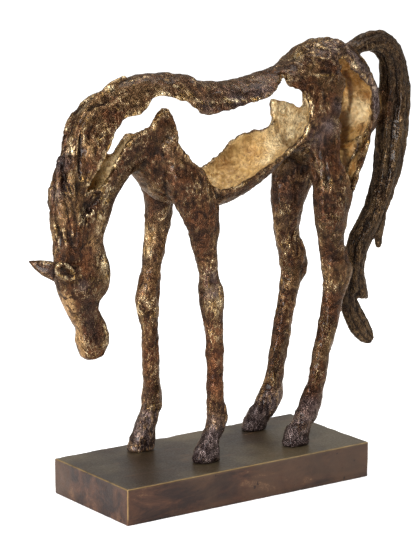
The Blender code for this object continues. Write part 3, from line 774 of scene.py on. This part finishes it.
class Nodes:
    """Short ways to build a material's node tree."""

    def __init__(self, name):
        self.material = bpy.data.materials.new(name)
        self.material.use_nodes = True
        self.tree = self.material.node_tree
        self.shader = self.tree.nodes["Principled BSDF"]
        self.place = self.tree.nodes.new("ShaderNodeTexCoord").outputs["Object"]

    def link(self, source, socket):
        if isinstance(source, (int, float)):
            socket.default_value = source
        elif isinstance(source, tuple):
            socket.default_value = source if len(source) == 4 else (*source, 1.0)
        else:
            self.tree.links.new(source, socket)

    def mix(self, share, first, second):
        node = self.tree.nodes.new("ShaderNodeMix")
        node.data_type = "RGBA"
        self.link(share, node.inputs[0])
        self.link(first, node.inputs[6])
        self.link(second, node.inputs[7])
        return node.outputs[2]

    def math(self, kind, first, second=0.0, third=0.0, clamp=False):
        node = self.tree.nodes.new("ShaderNodeMath")
        node.operation = kind
        node.use_clamp = clamp
        for socket, source in zip(node.inputs, (first, second, third)):
            self.link(source, socket)
        return node.outputs[0]

    def ramp(self, source, low, high, first=0.0, second=1.0):
        node = self.tree.nodes.new("ShaderNodeMapRange")
        node.interpolation_type = "SMOOTHSTEP"
        for name, value in (("From Min", low), ("From Max", high), ("To Min", first), ("To Max", second)):
            node.inputs[name].default_value = value
        self.link(source, node.inputs["Value"])
        return node.outputs["Result"]

    def noise(self, scale, detail=4.0, roughness=0.6, stretch=None, distortion=0.0):
        place = self.place
        if stretch:
            mapping = self.tree.nodes.new("ShaderNodeMapping")
            mapping.inputs["Scale"].default_value = stretch
            self.link(place, mapping.inputs["Vector"])
            place = mapping.outputs["Vector"]
        node = self.tree.nodes.new("ShaderNodeTexNoise")
        node.inputs["Scale"].default_value = scale
        node.inputs["Detail"].default_value = detail
        node.inputs["Roughness"].default_value = roughness
        node.inputs["Distortion"].default_value = distortion
        self.link(place, node.inputs["Vector"])
        return node.outputs["Fac"]

    def attribute(self, name):
        node = self.tree.nodes.new("ShaderNodeAttribute")
        node.attribute_name = name
        return node.outputs["Fac"]

    def bump(self, height, strength, distance):
        node = self.tree.nodes.new("ShaderNodeBump")
        node.inputs["Strength"].default_value = strength
        node.inputs["Distance"].default_value = distance
        self.link(height, node.inputs["Height"])
        self.link(node.outputs["Normal"], self.shader.inputs["Normal"])


def cast_finish():
    n = Nodes("cast bronze and leaf")
    ridge, patina_and_shade, crease, gilt = (n.attribute(name) for name in ("ridge", "patina_and_shade", "crease", "gilt"))
    mauve, shade, rust, tan = (n.attribute(name) for name in ("mauve", "shade", "rust", "tan"))
    leaf, tail = n.attribute("leaf"), n.attribute("tail")
    leaf_shade, leaf_lit = n.attribute("leaf_shade"), n.attribute("leaf_lit")
    leaf_amber = n.attribute("leaf_amber")
    broad = n.noise(28, 3, 0.6)
    middle = n.noise(135, 3, 0.55, distortion=0.8)
    fine = n.noise(700, 3, 0.7)
    drawn = n.noise(330, 3, 0.6, stretch=(1, 1, 0.35), distortion=1.5)
    veins = n.noise(260, 3, 0.6, stretch=(1, 1, 0.45), distortion=1.0)
    cracks = n.math("ABSOLUTE", n.math("SUBTRACT", veins, 0.5))

    brown = n.mix(n.ramp(middle, 0.36, 0.66), (0.016, 0.006, 0.003), (0.074, 0.028, 0.011))
    brown = n.mix(n.ramp(broad, 0.50, 0.62, 0, 0.55), brown, (0.080, 0.044, 0.018))
    reddish = n.mix(n.ramp(middle, 0.4, 0.6), (0.060, 0.018, 0.008), (0.150, 0.054, 0.020))
    brown = n.mix(n.math("MULTIPLY", rust, 0.7), brown, reddish)
    olive = n.mix(n.ramp(drawn, 0.42, 0.58), (0.008, 0.005, 0.003), (0.062, 0.038, 0.019))
    brown = n.mix(n.math("MULTIPLY", tail, 0.8), brown, olive)
    lilac = n.mix(n.ramp(middle, 0.38, 0.62), (0.024, 0.016, 0.017), (0.110, 0.082, 0.080))
    brown = n.mix(n.math("MULTIPLY", mauve, 0.85), brown, lilac)
    # painted shade: the shade patches turn the bronze a near-black brown
    shade_brown = n.mix(n.ramp(drawn, 0.4, 0.6), (0.010, 0.005, 0.004), (0.036, 0.017, 0.013))
    brown = n.mix(n.math("MULTIPLY", shade, 0.85), brown, shade_brown)
    # painted light: the lit tan of the face and of the lit patches
    light = n.math("MULTIPLY", tan, n.ramp(n.math("ADD", middle, broad), 0.86, 1.04, 0.05, 0.90))
    wear = n.math("MULTIPLY", ridge, n.ramp(drawn, 0.46, 0.60, 0.1, 0.7))
    wear = n.math("MULTIPLY", wear, n.ramp(tail, 0, 1, 0.9, 0.35))
    # the worn tone of the ridges also paints this lit tan light
    wear = n.math("MAXIMUM", wear, light)
    worn = n.mix(n.ramp(middle, 0.35, 0.6), (0.17, 0.086, 0.032), (0.36, 0.215, 0.095))
    skin = n.mix(wear, brown, worn)

    crackled = n.ramp(n.noise(48, 2, 0.5), 0.50, 0.60)
    streaks = n.math("MULTIPLY", n.ramp(cracks, 0.022, 0.005), crackled)
    flecks = n.math("MULTIPLY", n.ramp(drawn, 0.63, 0.67), n.ramp(crackled, 0, 1, 0.25, 1.0))
    flecks = n.math("MAXIMUM", flecks, n.math("MULTIPLY", streaks, 0.7))
    plain = n.math("MAXIMUM", n.math("MAXIMUM", tail, shade), mauve)
    flecks = n.math("MULTIPLY", flecks, n.ramp(plain, 0, 1, 0.95, 0.15))
    flecks = n.math("MULTIPLY", flecks, n.ramp(ridge, 0, 0.6, 0.35, 1.0))
    patches = n.math("MULTIPLY", gilt, n.ramp(drawn, 0.44, 0.54))
    gold_share = n.math("MAXIMUM", flecks, patches, clamp=True)
    gold_share = n.math("MULTIPLY", gold_share, n.ramp(fine, 0.32, 0.50, 0.55, 1.0))
    gold = n.mix(n.ramp(middle, 0.38, 0.62), (0.50, 0.29, 0.090), (1.0, 0.82, 0.50))
    skin = n.mix(gold_share, skin, gold)
    pitted = n.math("MULTIPLY", n.ramp(drawn, 0.40, 0.33), 0.7)
    # near black in the pits, and in the hollows as patina and painted shade
    dark = n.math("MAXIMUM", n.math("MULTIPLY", patina_and_shade, 0.90), pitted)
    skin = n.mix(dark, skin, (0.0070, 0.0035, 0.0025))

    ochre = n.mix(n.ramp(middle, 0.34, 0.64), (0.52, 0.315, 0.105), (0.74, 0.50, 0.21))
    # the leaf paler in broad patches, and in the lit patches as painted light
    pale = n.mix(n.math("MAXIMUM", n.ramp(broad, 0.54, 0.66, 0, 0.7), leaf_lit), ochre,
                 n.mix(n.ramp(middle, 0.36, 0.52), (0.84, 0.60, 0.29), (1.0, 0.83, 0.49)))
    amber_share = n.math("MULTIPLY", leaf_amber, n.ramp(middle, 0.34, 0.58, 0.95, 0.45))
    pale = n.mix(amber_share, pale, (0.40, 0.155, 0.028))
    # painted shade: the leaf's shaded folds go dark brown
    pale = n.mix(n.math("MULTIPLY", leaf_shade, 0.92), pale, (0.050, 0.019, 0.007))
    # leaf darkened in its creases: partly its own dark pits, partly painted shade
    lining = n.mix(n.math("MULTIPLY", crease, 0.35), pale, (0.20, 0.085, 0.025))
    lining = n.mix(n.math("MULTIPLY", n.ramp(cracks, 0.022, 0.005), n.ramp(broad, 0.42, 0.52)), lining,
                   (0.16, 0.072, 0.025))
    lining = n.mix(n.ramp(drawn, 0.40, 0.33, 0, 0.6), lining, (0.24, 0.115, 0.035))
    n.link(n.mix(leaf, skin, lining), n.shader.inputs["Base Color"])

    metal = n.math("MULTIPLY_ADD", leaf, -0.60, 0.72)
    metal = n.math("MULTIPLY_ADD", gold_share, 0.12, metal, clamp=True)
    n.link(metal, n.shader.inputs["Metallic"])
    gloss = n.ramp(fine, 0.3, 0.7, 0.18, 0.32)
    gloss = n.math("ADD", gloss, n.math("MULTIPLY", leaf, 0.16))
    n.link(gloss, n.shader.inputs["Roughness"])
    n.shader.inputs["Specular Tint"].default_value = (0.90, 0.74, 0.60, 1.0)
    n.shader.inputs["Specular IOR Level"].default_value = 0.25
    n.shader.inputs["Coat Weight"].default_value = 0.08
    n.shader.inputs["Coat Roughness"].default_value = 0.12
    relief_height = n.math("ADD", n.math("MULTIPLY", drawn, 0.6), n.math("MULTIPLY", fine, 0.10))
    relief_height = n.math("MULTIPLY_ADD", middle, 1.1, relief_height)
    relief_height = n.math("ADD", relief_height, n.math("MULTIPLY", n.ramp(cracks, 0.0, 0.06), 0.25))
    n.bump(relief_height, 0.8, 0.0016)
    return n.material


def base_finish():
    n = Nodes("brown base with brass edges")
    edge, top = n.attribute("edge"), n.attribute("top")
    broad = n.noise(12, 4, 0.6)
    middle = n.noise(55, 5, 0.7, stretch=(0.35, 1, 1), distortion=0.6)
    fine = n.noise(520, 4, 0.7)
    brown = n.mix(n.ramp(middle, 0.36, 0.66), (0.014, 0.005, 0.003), (0.066, 0.025, 0.011))
    brown = n.mix(n.ramp(broad, 0.42, 0.62, 0, 0.6), brown, (0.070, 0.036, 0.018))
    # the top face turns a lighter olive grey: a painted sheen
    olive = n.mix(n.ramp(broad, 0.38, 0.64), (0.042, 0.028, 0.014), (0.118, 0.091, 0.050))
    brown = n.mix(n.math("MULTIPLY", top, 0.8), brown, olive)
    rubbed = n.math("MULTIPLY", n.ramp(middle, 0.58, 0.66), n.ramp(fine, 0.42, 0.60))
    brown = n.mix(n.math("MULTIPLY", rubbed, 0.5), brown, (0.20, 0.105, 0.050))
    pits = n.math("MULTIPLY", n.ramp(n.noise(170, 2, 0.5), 0.30, 0.24), 0.85)
    brown = n.mix(pits, brown, (0.008, 0.004, 0.003))
    brass_share = n.math("MULTIPLY", edge, n.ramp(middle, 0.34, 0.52, 0.30, 0.9), clamp=True)
    n.link(n.mix(brass_share, brown, (0.50, 0.32, 0.12)), n.shader.inputs["Base Color"])
    n.link(n.ramp(brass_share, 0, 1, 0.35, 0.85), n.shader.inputs["Metallic"])
    n.link(n.ramp(fine, 0.3, 0.7, 0.30, 0.46), n.shader.inputs["Roughness"])
    n.bump(n.math("ADD", n.math("MULTIPLY", middle, 0.5), n.math("MULTIPLY", fine, 0.5)), 0.3, 0.0009)
    return n.material


# The plinth: the CAD block at a fine grain, with worn edges, small dents and pits

def make_plinth():
    low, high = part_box("plinth")
    size = (high - low) / MM
    shape = bmesh.new()
    bmesh.ops.create_cube(shape, size=1.0)
    bmesh.ops.scale(shape, vec=tuple(high - low), verts=shape.verts)
    bmesh.ops.translate(shape, vec=tuple((low + high) / 2), verts=shape.verts)
    for axis in range(3):
        cuts = int(size[axis] / PLINTH_SPACING)
        edges = [e for e in shape.edges
                 if abs((e.verts[0].co - e.verts[1].co)[axis]) > (high - low)[axis] * 0.99]
        bmesh.ops.subdivide_edges(shape, edges=edges, cuts=cuts, use_grid_fill=True)
    mesh = bpy.data.meshes.new("plinth_cast")
    shape.to_mesh(mesh)
    shape.free()
    thing = bpy.data.objects.new("plinth_cast", mesh)
    bpy.context.scene.collection.objects.link(thing)
    rounded = thing.modifiers.new("rounded", "BEVEL")
    rounded.width = PLINTH_ROUNDING * MM
    rounded.segments = 3
    rounded.limit_method = "ANGLE"
    rounded.angle_limit = math.radians(40)
    apply_modifiers(thing)
    points = np.zeros(len(thing.data.vertices) * 3, np.float32)
    thing.data.vertices.foreach_get("co", points)
    points = points.reshape(-1, 3).astype(float) / MM
    low_mm, high_mm = np.array(low) / MM, np.array(high) / MM
    gaps = np.sort(np.minimum(points - low_mm, high_mm - points), axis=1)
    corner = np.clip(gaps[:, 1], 0, None)
    wear = np.exp(-(corner / PLINTH_WEAR) ** 2)
    inward = np.zeros_like(points)
    for axis in range(3):
        inward[:, axis] += np.exp(-((points[:, axis] - low_mm[axis]) / 1.2) ** 2)
        inward[:, axis] -= np.exp(-((high_mm[axis] - points[:, axis]) / 1.2) ** 2)
    dents = 0.55 * np.clip(rough(points, 11, 201, 2), 0, None) * wear
    dents += 0.12 * (1 + rough(points, 9, 205, 2)) * (1 - wear)
    bottom = points[:, 2] < 0.5
    inward[bottom, 2] = 0
    points += inward * dents[:, None]
    thing.data.vertices.foreach_set("co", (points * MM).astype(np.float32).ravel())
    edge = np.exp(-(corner / 0.6) ** 2) * step(3, 8, points[:, 2])
    # the top face, where the finish paints a sheen
    top = step(high_mm[2] - 1.5, high_mm[2] - 0.5, points[:, 2])
    store(thing.data, "edge", edge)
    store(thing.data, "top", top)
    thing.data.shade_smooth()
    thing.data.set_sharp_from_angle(angle=math.radians(35))
    return thing


make_camera()
make_stage()
horse = make_horse(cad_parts["horse"])
horse.data.materials.clear()
horse.data.materials.append(cast_finish())
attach(horse, "root")
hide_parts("horse")
plinth = make_plinth()
plinth.data.materials.clear()
plinth.data.materials.append(base_finish())
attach(plinth, "root")
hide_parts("plinth")
